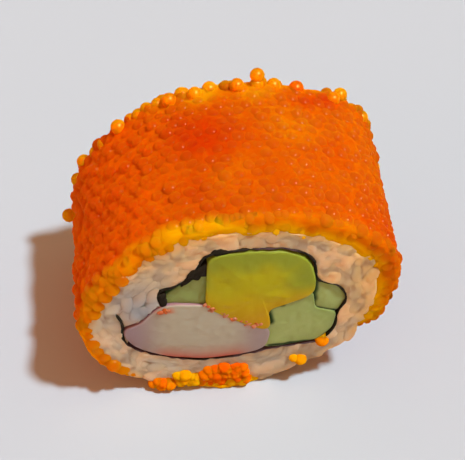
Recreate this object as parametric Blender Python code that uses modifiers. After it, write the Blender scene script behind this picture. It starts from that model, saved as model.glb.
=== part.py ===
"""Uramaki roll: one cut piece of an inside-out sushi roll, lying on its side.

The roll's axis runs along Y, and its two cut faces look along -Y and +Y. From the outside in it has a coat of
flying-fish roe, a ring of rice, a sheet of nori rolled almost shut, and five strips of filling: avocado, a crab
stick and three strips of cucumber. Every layer runs through the piece, and the origin is at the middle of its base.
"""

import math
import random

import bmesh
import bpy
import numpy as np
from mathutils import Matrix, Vector

MM = 0.001

# Driving dimensions, in millimetres.
LENGTH = 27.0  # between the two cut faces, along Y
GAP = 0.3  # left between neighbouring solids
COAT = 2.0  # from the bead tops to the rice
BEAD_DIAMETER = 2.1
BEAD_PITCH = 2.05
BEAD_RISE = 0.7  # of a bead's top above the bed between the beads
BEAD_WANDER = 0.28  # of a bead from its place in the lattice
BED_INSET = 0.9  # of that bed below the bead tops
RIM_RADIUS = 0.7  # where the coat turns from the side to a cut face
NORI_THICKNESS = 0.4
GRAIN_HALF = (2.6, 1.1, 1.05)  # cooked rice grain: half its length, width and depth
GRAIN_RISE = 0.5  # of a grain above the cut face
RICE_RECESS = 0.3  # of the rice's cut face behind the ends of the piece
SEED = 7

# Outlines of the section, as (x, z) in millimetres, anticlockwise seen from the front.
ROLL_OUTLINE = [
    (20.7, 18.5), (19.6, 24.0), (15.6, 28.3), (9.5, 31.0), (2.5, 32.0), (-5.0, 31.0), (-11.0, 28.1),
    (-16.0, 23.3), (-19.7, 17.5), (-20.9, 12.0), (-18.8, 6.2), (-14.5, 1.7), (-9.0, -0.6), (-2.5, -1.3),
    (3.8, -0.5), (10.0, 3.0), (15.5, 7.7), (19.1, 12.6),
]  # fmt: skip
# The nori's run from its inner end, over the top and back under the filling, to its outer end.
NORI_RUN = [
    (-9.9, 17.2), (-10.1, 19.9), (-7.6, 21.1), (-5.6, 23.4), (-4.1, 26.0), (-1.6, 26.7), (2.5, 26.8),
    (6.6, 26.3), (9.2, 24.2), (10.0, 20.4), (12.8, 19.2), (14.2, 16.2), (13.4, 13.4), (12.9, 10.3),
    (10.9, 8.0), (5.0, 7.3), (0.4, 6.3), (-4.5, 5.9), (-9.6, 7.0), (-13.4, 8.9), (-15.0, 11.2),
    (-15.1, 14.2), (-15.8, 17.5),
]  # fmt: skip
NORI_TAIL = 2  # points at the end of that run which lie in the rice, past the filling
# Where the rice bulges in against the filling, between the nori's tail and its inner end.
RICE_LOBE = [(-14.8, 13.4), (-12.8, 14.1), (-11.6, 15.8), (-10.1, 17.3)]

# Corners where the fillings press together, and each filling's outline from corner to corner.
ABOVE_CRAB = (-4.0, 16.6)
UNDER_AVOCADO = [(-1.4, 14.6), (1.0, 12.9), (3.4, 11.5)]
LEFT_OF_CUCUMBER = [(3.9, 12.4), (3.4, 15.5)]
UNDER_CORNER = [(6.2, 16.6), (9.2, 17.9)]
CUCUMBER_JOINT = [(9.6, 14.7), (12.8, 13.5)]
AVOCADO_TOP = [(9.5, 20.2), (8.7, 23.9), (6.4, 25.8), (2.5, 26.3), (-1.5, 26.2), (-3.7, 25.4)]
FILLINGS = {
    "avocado": [*AVOCADO_TOP, ABOVE_CRAB, *UNDER_AVOCADO, *LEFT_OF_CUCUMBER, *UNDER_CORNER],
    "crab_stick": [
        ABOVE_CRAB, (-9.3, 17.3), (-11.2, 15.5), (-12.5, 13.7), (-14.4, 13.2), (-14.5, 11.6), (-13.0, 9.4),
        (-9.4, 7.5), (-4.5, 6.5), (0.2, 6.9), (3.2, 7.7), (3.8, 10.4), *reversed(UNDER_AVOCADO),
    ],
    "cucumber_left": [(-3.9, 23.4), (-4.6, 23.5), (-5.4, 22.5), (-7.4, 20.5), (-9.4, 19.4), (-9.3, 17.4), ABOVE_CRAB],
    "cucumber_right_top": [(9.6, 19.9), (9.2, 17.9), *CUCUMBER_JOINT, (13.6, 16.2), (12.5, 18.7)],
    "cucumber_right_bottom": [
        *reversed(UNDER_CORNER), *reversed(LEFT_OF_CUCUMBER), (3.8, 10.4), (3.2, 7.8), (5.0, 7.8),
        (10.6, 8.5), (12.4, 10.6), *reversed(CUCUMBER_JOINT),
    ],
}  # fmt: skip
CORNER_REACH = {
    "avocado": 1.4,
    "crab_stick": 1.4,
    "cucumber_left": 0.6,
    "cucumber_right_top": 0.8,
    "cucumber_right_bottom": 0.8,
}
# How far each filling stands out of the piece's ends; less than nought lies deeper.
FILLING_RISE = {
    "avocado": 0.3,
    "crab_stick": 0.2,
    "cucumber_left": -0.4,
    "cucumber_right_top": -0.3,
    "cucumber_right_bottom": 0.0,
}
EDGE_ROUNDING = 0.35  # on the fillings' cut edges

# Places where the coat draws back from a cut face, or below nought spreads past it: (angle round the section, spread,
# depth).
COAT_BARE_FRONT = [(-60, 14, 2.8), (-41, 13, 1.7), (-28, 10, 1.5), (-127, 9, 1.2), (-95, 12, -0.9)]
COAT_BARE_BACK = [(-58, 15, 1.6), (-118, 12, 1.4), (150, 8, 0.7)]
# Grains that fill the bays of the front rim: (angle round the section, depth of the middle under the bead tops).
BAY_GRAINS = [(-67, 1.9), (-61, 1.5), (-55, 1.8), (-49, 1.4), (-43, 1.8), (-37, 1.5), (-31, 1.7), (-26, 1.9)]
BAY_GRAIN_Y = -12.9
# The coat thins towards its back rim: by how much at most, and the angles and the y where that starts and is full.
THINNING = 0.9
THINNEST = 0.35  # the bed is never thinner than this
THINNING_ANGLES = (20, 55, 125, 150)
THINNING_Y = (4.0, 13.0)
# Beads that stand proud of the coat: (angle round the section, y, height of the centre above the bead tops).
PROUD_BEADS = [
    (74, 12.6, 0.2), (38, 12.6, -0.2), (41, 11.6, -0.6), (24, 12.3, -0.6), (171, 12.6, -0.2), (181, 12.6, -0.4),
    (187, 11.5, -0.5), (190, 9.0, 0.9), (83, 11.5, -0.5), (103, 11.5, -0.9), (116, 11.5, -0.6), (144, 11.5, -0.1),
    (156, 11.5, -0.5), (8, 8.0, -0.4), (-64, -11.5, -0.6), (-43, -11.8, -0.5), (-32, -12.2, -0.5),
]  # fmt: skip
SEAT_DROP = 1.15  # of the bead that carries one of those, below it
DEEPEST_BEAD = -1.15  # height of the lowest centre
SEAT_END = 12.2  # that bead is never farther along Y than this
# Beads pushed over the lower edge of the front cut face, as (x, z) of their centres, and the y they share.
SPILT_BEADS = [
    (-11.0, 1.3), (-9.4, 1.1), (-7.9, 1.2), (-6.3, 1.1), (-4.9, 1.1), (-3.5, 1.1), (-2.1, 1.1), (-0.7, 1.1),
    (0.8, 1.2), (-4.4, 2.4), (-2.8, 2.4), (-1.3, 2.5), (0.2, 2.5), (-2.1, 3.8), (-0.6, 3.8),
]  # fmt: skip
SPILT_Y = -14.25
SPILT_BOX = (-13.0, 2.8, 6.0)  # no grain of the front face has its middle between these two x and below this z
SCATTERED_BEADS = 6
GRAIN_SPACING = 2.1  # least distance between the middles of two grains
GRAIN_TRIES = 900  # draws for a grain's place on each cut face


# Curves in the section --------------------------------------------------------------------------------------------


def spline(points, count, closed):
    """Evenly spaced samples of the smooth (Catmull-Rom) curve through the points."""
    p = np.array(points, float)
    n = len(p)
    if closed:
        before, here, after, last = (np.roll(p, k, axis=0) for k in (1, 0, -1, -2))
    else:
        padded = np.vstack([2 * p[0] - p[1], p, 2 * p[-1] - p[-2]])
        before, here, after, last = (padded[k : k + n - 1] for k in range(4))
    t = np.linspace(0, 1, 24, endpoint=False)[None, :, None]
    before, here, after, last = (a[:, None, :] for a in (before, here, after, last))
    fine = 0.5 * (
        2 * here
        + (after - before) * t
        + (2 * before - 5 * here + 4 * after - last) * t**2
        + (3 * here - before - 3 * after + last) * t**3
    )
    fine = fine.reshape(-1, 2)
    fine = np.vstack([fine, p[:1] if closed else p[-1:]])
    along = np.concatenate([[0], np.cumsum(np.linalg.norm(np.diff(fine, axis=0), axis=1))])
    at = np.linspace(0, along[-1], count, endpoint=not closed)
    return np.stack([np.interp(at, along, fine[:, k]) for k in range(2)], axis=1)


def outward(outline):
    """Unit normals that point out of a closed anticlockwise outline."""
    along = np.roll(outline, -1, axis=0) - np.roll(outline, 1, axis=0)
    along /= np.linalg.norm(along, axis=1)[:, None]
    return np.stack([along[:, 1], -along[:, 0]], axis=1)


def inset(outline, distance):
    return outline - outward(outline) * distance


def rounded(corners, reach):
    """A polygon with each corner made a short curve that starts and ends up to `reach` away from it."""
    points = []
    count = len(corners)
    for k in range(count):
        before, corner, after = (np.array(corners[(k + step) % count]) for step in (-1, 0, 1))
        start, end = (
            corner + (other - corner) * min(reach / np.hypot(*(other - corner)), 0.45) for other in (before, after)
        )
        for t in (0, 1 / 3, 2 / 3, 1):
            points.append((1 - t) ** 2 * start + 2 * t * (1 - t) * corner + t**2 * end)
    return np.array(points)


def length_of(outline):
    return np.linalg.norm(np.roll(outline, -1, axis=0) - outline, axis=1).sum()


def angle_round(outline):
    """Each point's angle round the middle of the section, in degrees."""
    middle = (outline.max(axis=0) + outline.min(axis=0)) / 2
    return np.degrees(np.arctan2(outline[:, 1] - middle[1], outline[:, 0] - middle[0]))


def inside(point, outline):
    """Whether the point lies in the closed outline, by counting the edges above it."""
    x, z = point
    a, b = outline, np.roll(outline, -1, axis=0)
    spans = (a[:, 0] > x) != (b[:, 0] > x)
    a, b = a[spans], b[spans]
    height = a[:, 1] + (b[:, 1] - a[:, 1]) * (x - a[:, 0]) / (b[:, 0] - a[:, 0])
    return (height > z).sum() % 2 == 1


def distance_to(point, samples):
    return np.linalg.norm(samples - np.array(point), axis=1).min()


# Blender helpers --------------------------------------------------------------------------------------------------


def clear_scene():
    for obj in list(bpy.data.objects):
        bpy.data.objects.remove(obj, do_unlink=True)


def new_collection(name):
    collection = bpy.data.collections.new(name)
    bpy.context.scene.collection.children.link(collection)
    return collection


def material(name, color, roughness):
    made = bpy.data.materials.new(name)
    made.use_nodes = True
    shader = made.node_tree.nodes["Principled BSDF"]
    shader.inputs["Base Color"].default_value = (*color, 1.0)
    shader.inputs["Roughness"].default_value = roughness
    shader.inputs["Metallic"].default_value = 0.0
    return made


def new_object(name, mesh, collection):
    obj = bpy.data.objects.new(name, mesh)
    collection.objects.link(obj)
    return obj


def baked(obj):
    """The object with its curve or modifiers made into a plain welded mesh, under the same name."""
    bpy.context.view_layer.update()
    evaluated = obj.evaluated_get(bpy.context.evaluated_depsgraph_get())
    mesh = bpy.data.meshes.new_from_object(evaluated)
    collection = obj.users_collection[0]
    name, matrix = obj.name, obj.matrix_world.copy()
    bpy.data.objects.remove(obj, do_unlink=True)
    mesh.transform(matrix)
    work = bmesh.new()
    work.from_mesh(mesh)
    bmesh.ops.remove_doubles(work, verts=work.verts, dist=0.00001)
    bmesh.ops.recalc_face_normals(work, faces=work.faces)
    if work.calc_volume(signed=True) < 0:
        bmesh.ops.reverse_faces(work, faces=work.faces)
    work.to_mesh(mesh)
    work.free()
    mesh.name = name
    return new_object(name, mesh, collection)


def section_curve(name, outline, collection, y_front, y_back, closed):
    """A curve of section points, drawn in the XZ plane and extruded along Y: a filled prism, or an open ribbon."""
    data = bpy.data.curves.new(name, "CURVE")
    data.dimensions = "2D" if closed else "3D"
    if closed:
        data.fill_mode = "BOTH"
    data.extrude = (y_back - y_front) / 2 * MM
    run = data.splines.new("POLY")
    run.points.add(len(outline) - 1)
    for point, (x, z) in zip(run.points, outline):
        point.co = (x * MM, z * MM, 0, 1)
    run.use_cyclic_u = closed
    obj = new_object(name, data, collection)
    obj.rotation_euler = (math.pi / 2, 0, 0)
    obj.location = (0, (y_front + y_back) / 2 * MM, 0)
    return obj


def prism(name, outline, collection, y_front, y_back):
    return baked(section_curve(name, outline, collection, y_front, y_back, closed=True))


def ribbon(name, run, collection, y_front, y_back, thickness):
    """An open run of the section made a sheet of the given thickness."""
    obj = section_curve(name, run, collection, y_front, y_back, closed=False)
    sheet = obj.modifiers.new("thickness", "SOLIDIFY")
    sheet.thickness = thickness * MM
    sheet.offset = 0
    sheet.use_even_offset = True
    return baked(obj)


def combine(obj, others, operation, solver="EXACT"):
    """One Boolean of the object with every object in a collection, applied; the collection's objects are removed."""
    boolean = obj.modifiers.new(operation.lower(), "BOOLEAN")
    boolean.operation = operation
    boolean.solver = solver
    boolean.operand_type = "COLLECTION"
    boolean.collection = others
    made = baked(obj)
    for other in list(others.objects):
        bpy.data.objects.remove(other, do_unlink=True)
    bpy.data.collections.remove(others)
    return made


def shade_smooth(obj):
    obj.data.shade_smooth()
    return obj


def largest_body(obj):
    """Drops loose scraps: only the body with the most faces stays."""
    work = bmesh.new()
    work.from_mesh(obj.data)
    left = set(work.verts)
    bodies = []
    while left:
        reached, edge = set(), [left.pop()]
        while edge:
            vert = edge.pop()
            reached.add(vert)
            for link in vert.link_edges:
                other = link.other_vert(vert)
                if other in left:
                    left.remove(other)
                    edge.append(other)
        bodies.append(reached)
    bodies.sort(key=len)
    scraps = [vert for body in bodies[:-1] for vert in body]
    bmesh.ops.delete(work, geom=scraps, context="VERTS")
    work.to_mesh(obj.data)
    work.free()
    return obj


# The roe coat -----------------------------------------------------------------------------------------------------


def coat_profile(spacing):
    """The coat's bed from its inner front edge, round the rim, along the side and round the back rim.

    Each row is (inset from the bead tops, y, how far the bed faces sideways, how far it faces along Y).
    """
    end = LENGTH / 2 - BED_INSET / 2
    lip = COAT - BED_INSET - RIM_RADIUS
    arc = RIM_RADIUS * math.pi / 2
    side = 2 * (end - RIM_RADIUS)
    total = 2 * (lip + arc) + side
    rows = []
    for s in np.linspace(0, total, round(total / spacing) + 1):
        back = s > total / 2
        q = total - s if back else s
        if q <= lip:
            row = (COAT - q, -end, 0.0, -1.0)
        elif q <= lip + arc:
            turn = (q - lip) / RIM_RADIUS
            row = (
                BED_INSET + RIM_RADIUS * (1 - math.sin(turn)),
                -end + RIM_RADIUS * (1 - math.cos(turn)),
                math.sin(turn),
                -math.cos(turn),
            )
        else:
            row = (BED_INSET, -end + RIM_RADIUS + q - lip - arc, 1.0, 0.0)
        rows.append((row[0], -row[1], row[2], -row[3]) if back else row)
    return rows


def drawn_back(angles, bare):
    """How far the rim draws back at each angle: a sum of rounded bays."""
    total = np.zeros(len(angles))
    for centre, spread, depth in bare:
        off = (angles - centre + 180) % 360 - 180
        total += depth * np.exp(-((off / spread) ** 2))
    return total


def thinning(angles, y):
    """How much thinner the coat is at each angle, this far along the piece."""
    start, full, full_end, end = THINNING_ANGLES
    round_share = np.interp(angles, [start, full, full_end, end], [0, 1, 1, 0], left=0, right=0)
    return THINNING * round_share * np.interp(y, THINNING_Y, [0, 1])


def coat_body(collection):
    """The coat as one ring of rows: a lattice of beads outside, and a plain wall inside.

    The rows are staggered, so that the points form even triangles. Every third point is a bead's top, with six
    points of the bed round it.
    """
    rng = np.random.default_rng(SEED)
    step = BEAD_PITCH / math.sqrt(3)
    rows = coat_profile(step * math.sqrt(3) / 2)
    columns = 3 * round(length_of(spline(ROLL_OUTLINE, 400, True)) / (3 * step))
    outline = spline(ROLL_OUTLINE, columns * 2, True)
    normals = outward(outline)
    angles = angle_round(outline)
    front = drawn_back(angles, COAT_BARE_FRONT)
    back = drawn_back(angles, COAT_BARE_BACK)
    points = []
    for j, (depth, y, sideways, lengthways) in enumerate(rows):
        pick = 2 * np.arange(columns) + j % 2
        column = np.arange(columns)
        on_lattice = 0 < j < len(rows) - 1
        bead = ((column - j // 2 - j) % 3 == 0) & on_lattice
        rise = np.where(bead, BEAD_RISE * rng.uniform(0.75, 1.1, columns), 0.0)
        slide = rng.uniform(-BEAD_WANDER, BEAD_WANDER, (columns, 2)) * on_lattice
        tangent = np.stack([-normals[pick, 1], normals[pick, 0]], axis=1)
        sunk = np.minimum(depth + thinning(angles[pick], y), max(depth, COAT - THINNEST))
        place = outline[pick] + normals[pick] * (rise * sideways - sunk)[:, None]
        place += tangent * slide[:, :1]
        travel = y + rise * lengthways + slide[:, 1] * sideways
        share = (y + LENGTH / 2) / LENGTH
        travel = travel + front[pick] * (1 - share) - back[pick] * share
        points.append(np.stack([place[:, 0], travel, np.maximum(place[:, 1], 0)], axis=1))
    faces = []
    count = len(points)
    for j in range(count):
        after = (j + 1) % count
        for i in range(columns):
            a, b = j * columns + i, j * columns + (i + 1) % columns
            c, d = after * columns + i, after * columns + (i + 1) % columns
            if j % 2 == 0:
                faces += [(a, b, c), (b, d, c)]
            else:
                faces += [(a, d, c), (a, b, d)]
    mesh = bpy.data.meshes.new("roe_coat")
    mesh.from_pydata((np.vstack(points) * MM).tolist(), [], faces)
    work = bmesh.new()
    work.from_mesh(mesh)
    bmesh.ops.recalc_face_normals(work, faces=work.faces)
    work.to_mesh(mesh)
    work.free()
    return new_object("roe_coat", mesh, collection)


def bead_mesh():
    mesh = bpy.data.meshes.new("bead")
    work = bmesh.new()
    bmesh.ops.create_icosphere(work, subdivisions=1, radius=BEAD_DIAMETER / 2 * MM)
    work.to_mesh(mesh)
    work.free()
    return mesh


def proud_places(rng):
    """Centres of the beads on the coat. Each bead that stands high has a second one under it, which carries it."""
    outline = spline(ROLL_OUTLINE, 720, True)
    normals = outward(outline)
    angles = angle_round(outline)
    places = []
    for angle, y, height in PROUD_BEADS:
        places.append((angle, y, height))
        if height > -0.1 - thinning(angle, y):
            places.append((angle, math.copysign(min(abs(y), SEAT_END), y), height - SEAT_DROP))
    for _ in range(SCATTERED_BEADS):
        angle, y = rng.uniform(-20, 200), rng.uniform(-0.46, 0.46) * LENGTH
        places.append((angle, y, rng.uniform(-0.7, -0.3) - thinning(angle, y)))
    centres = []
    for angle, y, height in places:
        at = np.abs((angles - angle + 180) % 360 - 180).argmin()
        x, z = outline[at] + normals[at] * max(height, DEEPEST_BEAD)
        centres.append((x, y, max(z, BEAD_DIAMETER / 2 * 1.02)))
    return centres


def roe_coat(collection):
    rng = random.Random(SEED)
    beads = new_collection("loose beads")
    mesh = bead_mesh()
    for centre in proud_places(rng) + [(x, SPILT_Y, z) for x, z in SPILT_BEADS]:
        bead = new_object("bead", mesh, beads)
        bead.location = Vector(centre) * MM
        bead.rotation_euler = [rng.uniform(0, math.tau) for _ in range(3)]
    return shade_smooth(largest_body(combine(coat_body(collection), beads, "UNION")))


# The rice ---------------------------------------------------------------------------------------------------------


def filling_space():
    """The closed outline round the filling: the nori's run without its tail, then the rice's lobe."""
    run = spline(NORI_RUN[:-NORI_TAIL], 90, False)
    return np.vstack([run, RICE_LOBE])[::-1]


def grain_places(rng, outer, hollow, nori):
    """Places for grains on a cut face, evenly spread: each with its direction in the ring and its width there."""
    near = spline(ROLL_OUTLINE, 360, True)
    along_ring = np.stack([-outward(near)[:, 1], outward(near)[:, 0]], axis=1)
    places = []

    def room(point):
        """How far the point is from the nearest wall of the rice."""
        if not inside(point, outer) or inside(point, hollow):
            return 0.0
        return min(distance_to(point, outer), distance_to(point, hollow), distance_to(point, nori) - 0.5)

    for _ in range(GRAIN_TRIES):
        point = np.array([rng.uniform(-19, 19), rng.uniform(0, 30)])
        turn = rng.gauss(0, 0.35)
        if any(np.hypot(*(point - other)) < GRAIN_SPACING for other, _, _ in places):
            continue
        width = min(GRAIN_HALF[1], room(point) - 0.1)
        if width < 0.6:
            continue
        along = along_ring[np.linalg.norm(near - point, axis=1).argmin()]
        direction = math.atan2(along[1], along[0]) + turn
        reach = GRAIN_HALF[0] * 0.8 * np.array([math.cos(direction), math.sin(direction)])
        if min(room(point + reach), room(point - reach)) > 0.45:
            places.append((point, direction, width))
    return places


def grain_mesh():
    """A rounded grain one unit across every way, with its poles along X."""
    mesh = bpy.data.meshes.new("grain")
    work = bmesh.new()
    bmesh.ops.create_uvsphere(work, u_segments=6, v_segments=4, radius=1)
    bmesh.ops.rotate(work, verts=work.verts, matrix=Matrix.Rotation(math.pi / 2, 3, "Y"))
    work.to_mesh(mesh)
    work.free()
    return mesh


def rice(collection):
    """A ring between the roe and the nori, with a slot for the nori's tail and grains showing on both cut faces."""
    end = LENGTH / 2 - RICE_RECESS
    body = prism("rice", inset(spline(ROLL_OUTLINE, 72, True), COAT + GAP), collection, -end, end)
    cutters = new_collection("rice cutters")
    prism("filling_space", filling_space(), cutters, -LENGTH, LENGTH)
    run = spline(NORI_RUN, 80, False)
    before, after = 2 * run[0] - run[1], 2 * run[-1] - run[-2]
    ribbon(
        "nori_slot", np.vstack([before, run, after]), cutters, -LENGTH, LENGTH, NORI_THICKNESS + 2 * GAP
    )
    body = combine(body, cutters, "DIFFERENCE")
    grains = new_collection("grains")
    mesh = grain_mesh()
    rng = random.Random(SEED)
    outer = inset(spline(ROLL_OUTLINE, 360, True), COAT + GAP)
    nori = spline(NORI_RUN, 240, False)
    for side in (-1, 1):
        for point, direction, width in grain_places(rng, outer, filling_space(), nori):
            if side < 0 and SPILT_BOX[0] < point[0] < SPILT_BOX[1] and point[1] < SPILT_BOX[2]:
                continue
            grain = new_object("grain", mesh, grains)
            grain.scale = Vector((GRAIN_HALF[0] * width / GRAIN_HALF[1], GRAIN_HALF[2], width)) * MM
            grain.location = (point[0] * MM, side * (end - GRAIN_HALF[2] + GRAIN_RISE) * MM, point[1] * MM)
            grain.rotation_euler = (0, -direction, 0)
    near = spline(ROLL_OUTLINE, 360, True)
    normals, angles = outward(near), angle_round(near)
    for angle, depth in BAY_GRAINS:
        at = np.abs(angles - angle).argmin()
        x, z = near[at] - normals[at] * depth
        grain = new_object("grain", mesh, grains)
        grain.scale = Vector((GRAIN_HALF[0] * 0.85, 0.85, GRAIN_HALF[1])) * MM
        grain.location = (x * MM, BAY_GRAIN_Y * MM, z * MM)
        grain.rotation_euler = (0, -math.atan2(normals[at, 0], -normals[at, 1]) + rng.gauss(0, 0.2), 0)
    return largest_body(combine(body, grains, "UNION"))


# The nori and the filling -----------------------------------------------------------------------------------------


def nori_sheet(collection):
    end = LENGTH / 2 - RICE_RECESS / 2
    return ribbon("nori", spline(NORI_RUN, 80, False), collection, -end, end, NORI_THICKNESS)


def filling(name, collection):
    """A strip through the whole piece, with its cut edges rounded."""
    outline = inset(rounded(FILLINGS[name], CORNER_REACH[name]), GAP / 2)
    end = LENGTH / 2 + FILLING_RISE[name]
    obj = prism(name, outline, collection, -end, end)
    rounding = obj.modifiers.new("cut edges", "BEVEL")
    rounding.width = EDGE_ROUNDING * MM
    rounding.segments = 2
    rounding.limit_method = "ANGLE"
    rounding.angle_limit = math.radians(60)
    return obj


def stand_on_origin(collection):
    """Moves every mesh alike, so that the middle of the whole piece's box is over the origin."""
    corners = np.array([vert.co for obj in collection.objects for vert in obj.data.vertices])
    low, high = corners.min(axis=0), corners.max(axis=0)
    for obj in collection.objects:
        obj.data.transform(Matrix.Translation((-(low[0] + high[0]) / 2, -(low[1] + high[1]) / 2, 0)))


def main():
    clear_scene()
    roll = new_collection("uramaki roll")
    roe_skin = material("flying-fish roe", (0.84, 0.13, 0.01), 0.2)
    cooked_rice = material("cooked rice", (0.87, 0.80, 0.68), 0.45)
    seaweed = material("toasted nori", (0.02, 0.025, 0.015), 0.5)
    flesh = {
        "avocado": material("avocado flesh", (0.62, 0.60, 0.14), 0.4),
        "crab_stick": material("crab stick", (0.85, 0.72, 0.62), 0.4),
    }
    cucumber = material("cucumber flesh", (0.60, 0.68, 0.34), 0.3)
    roe_coat(roll).data.materials.append(roe_skin)
    rice(roll).data.materials.append(cooked_rice)
    nori_sheet(roll).data.materials.append(seaweed)
    for name in FILLINGS:
        filling(name, roll).data.materials.append(flesh.get(name, cucumber))
    bpy.context.view_layer.update()
    stand_on_origin(roll)


main()
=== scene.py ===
# Uramaki roll: one cut piece of inside-out sushi roll on its side, in a soft studio set.
# Lengths are in millimetres until a mesh is made, and angles round the section are in degrees.
import math

import bmesh
import bpy
import numpy as np
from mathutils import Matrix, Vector


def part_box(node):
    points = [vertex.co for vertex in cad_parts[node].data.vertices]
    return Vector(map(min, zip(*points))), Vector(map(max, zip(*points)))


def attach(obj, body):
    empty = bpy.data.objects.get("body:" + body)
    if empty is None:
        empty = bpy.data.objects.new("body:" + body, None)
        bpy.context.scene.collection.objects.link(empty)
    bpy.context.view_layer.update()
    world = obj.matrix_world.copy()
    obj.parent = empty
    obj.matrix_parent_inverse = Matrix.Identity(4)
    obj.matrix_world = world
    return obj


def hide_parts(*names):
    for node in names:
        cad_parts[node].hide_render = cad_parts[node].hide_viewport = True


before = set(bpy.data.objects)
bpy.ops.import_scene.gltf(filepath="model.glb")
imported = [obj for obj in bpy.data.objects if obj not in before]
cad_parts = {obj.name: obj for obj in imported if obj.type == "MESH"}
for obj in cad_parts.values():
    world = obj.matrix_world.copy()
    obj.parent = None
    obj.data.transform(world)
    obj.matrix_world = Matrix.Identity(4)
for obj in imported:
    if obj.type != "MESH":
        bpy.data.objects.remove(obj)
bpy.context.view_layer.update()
print("frame loaded:", ", ".join(sorted(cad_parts)))

mm = 0.001
seed = 7
noriSamples = 700

# The section, as (x, z), anticlockwise seen from the front: the outlines that the solids have, with the nori
# a little closer round the right-hand cucumbers and a little shorter at its tail.
section = {
    "roll": [
        (20.7, 18.5), (19.6, 24.0), (15.6, 28.3), (9.5, 31.0), (2.5, 32.0), (-5.0, 31.0), (-11.0, 28.1),
        (-16.0, 23.3), (-19.7, 17.5), (-20.9, 12.0), (-18.8, 6.2), (-14.5, 1.7), (-9.0, -0.6), (-2.5, -1.3),
        (3.8, -0.5), (10.0, 3.0), (15.5, 7.7), (19.1, 12.6),
    ],
    "nori": [
        (-9.9, 17.2), (-10.1, 19.9), (-7.6, 21.1), (-5.6, 23.4), (-4.1, 26.0), (-1.6, 26.7), (2.5, 26.8),
        (6.6, 26.3), (9.2, 24.2), (10.0, 20.4), (12.5, 19.0), (13.7, 16.5), (12.8, 13.7), (12.4, 10.7),
        (10.6, 8.3), (5.0, 7.3), (0.4, 6.3), (-4.5, 5.9), (-9.6, 7.0), (-13.4, 8.9), (-15.0, 11.2),
        (-14.9, 14.2), (-15.6, 16.4),
    ],
    "noriTail": 2,  # points at the end of the nori which lie in the rice
    "riceLobe": [(-14.8, 13.4), (-12.8, 14.1), (-11.6, 15.8), (-10.1, 17.3)],
    "middle": (0.0, 16.0),
}


# Shapes in the section.


def splineThrough(points, count, closed):
    # even samples of the Catmull-Rom curve: the cubic that passes each point along the line of its neighbours
    p = np.array(points, float)
    n = len(p)
    if closed:
        sides = (np.roll(p, k, axis=0) for k in (1, 0, -1, -2))
    else:
        padded = np.vstack([2 * p[0] - p[1], p, 2 * p[-1] - p[-2]])
        sides = (padded[k : k + n - 1] for k in range(4))
    t = np.linspace(0, 1, 24, endpoint=False)[None, :, None]
    before, here, after, last = (a[:, None, :] for a in sides)
    fine = 0.5 * (
        2 * here
        + (after - before) * t
        + (2 * before - 5 * here + 4 * after - last) * t**2
        + (3 * here - before - 3 * after + last) * t**3
    )
    return evenly(np.vstack([fine.reshape(-1, 2), p[:1] if closed else p[-1:]]), count, closed)


def evenly(path, count, closed):
    # the path resampled at even distances along it; a closed one ends where it starts
    along = np.concatenate([[0], np.cumsum(np.linalg.norm(np.diff(path, axis=0), axis=1))])
    at = np.linspace(0, along[-1], count, endpoint=not closed)
    return np.stack([np.interp(at, along, path[:, k]) for k in range(2)], axis=1)


def roundedPolygon(corners, reach, count):
    # each corner becomes the curve (1-t)^2 start + 2t(1-t) corner + t^2 end, `reach` away at both ends
    c = np.array(corners, float)
    towards = [np.roll(c, step, axis=0) - c for step in (1, -1)]
    start, end = (c + d * np.minimum(reach / np.linalg.norm(d, axis=1), 0.45)[:, None] for d in towards)
    t = np.linspace(0, 1, 9)[None, :, None]
    curve = (1 - t) ** 2 * start[:, None] + 2 * t * (1 - t) * c[:, None] + t**2 * end[:, None]
    curve = curve.reshape(-1, 2)
    return evenly(np.vstack([curve, curve[:1]]), count, True)


def outwardNormals(outline):
    along = np.roll(outline, -1, axis=0) - np.roll(outline, 1, axis=0)
    along /= np.linalg.norm(along, axis=1)[:, None]
    return np.stack([along[:, 1], -along[:, 0]], axis=1)


def angleRound(points, outline):
    middle = (outline.max(axis=0) + outline.min(axis=0)) / 2
    return np.degrees(np.arctan2(points[:, 1] - middle[1], points[:, 0] - middle[0]))


def offAngle(angles, middle):
    # how far each angle is from the middle one, the short way round
    return (angles - middle + 180) % 360 - 180


def distanceTo(points, path):
    # nearest distance from each point to a finely sampled path
    return np.sqrt(((points[:, None, :] - path[None, :, :]) ** 2).sum(axis=2)).min(axis=1)


def insideOf(points, outline):
    # a point is inside where an odd number of the outline's edges pass above it
    x, z = points[:, :1], points[:, 1:]
    a, b = outline, np.roll(outline, -1, axis=0)
    spans = (a[None, :, 0] > x) != (b[None, :, 0] > x)
    run = np.where(np.abs(b[:, 0] - a[:, 0]) < 1e-9, 1e-9, b[:, 0] - a[:, 0])
    height = a[None, :, 1] + (b - a)[None, :, 1] * (x - a[None, :, 0]) / run[None, :]
    return (spans & (height > z)).sum(axis=1) % 2 == 1


def smoothStep(low, high, values):
    # 3t^2 - 2t^3, with t from 0 at low to 1 at high
    t = np.clip((values - low) / (high - low), 0, 1)
    return t * t * (3 - 2 * t)


def bell(values, middle, spread):
    # exp(-((value - middle) / spread)^2)
    return np.exp(-(((values - middle) / spread) ** 2))


def spot(flat, middle, spreads):
    # a bell round a point of the section: exp(-((x off) / spread)^2 - ((z off) / spread)^2)
    return np.exp(-(((flat - middle) / spreads) ** 2).sum(axis=1))


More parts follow.
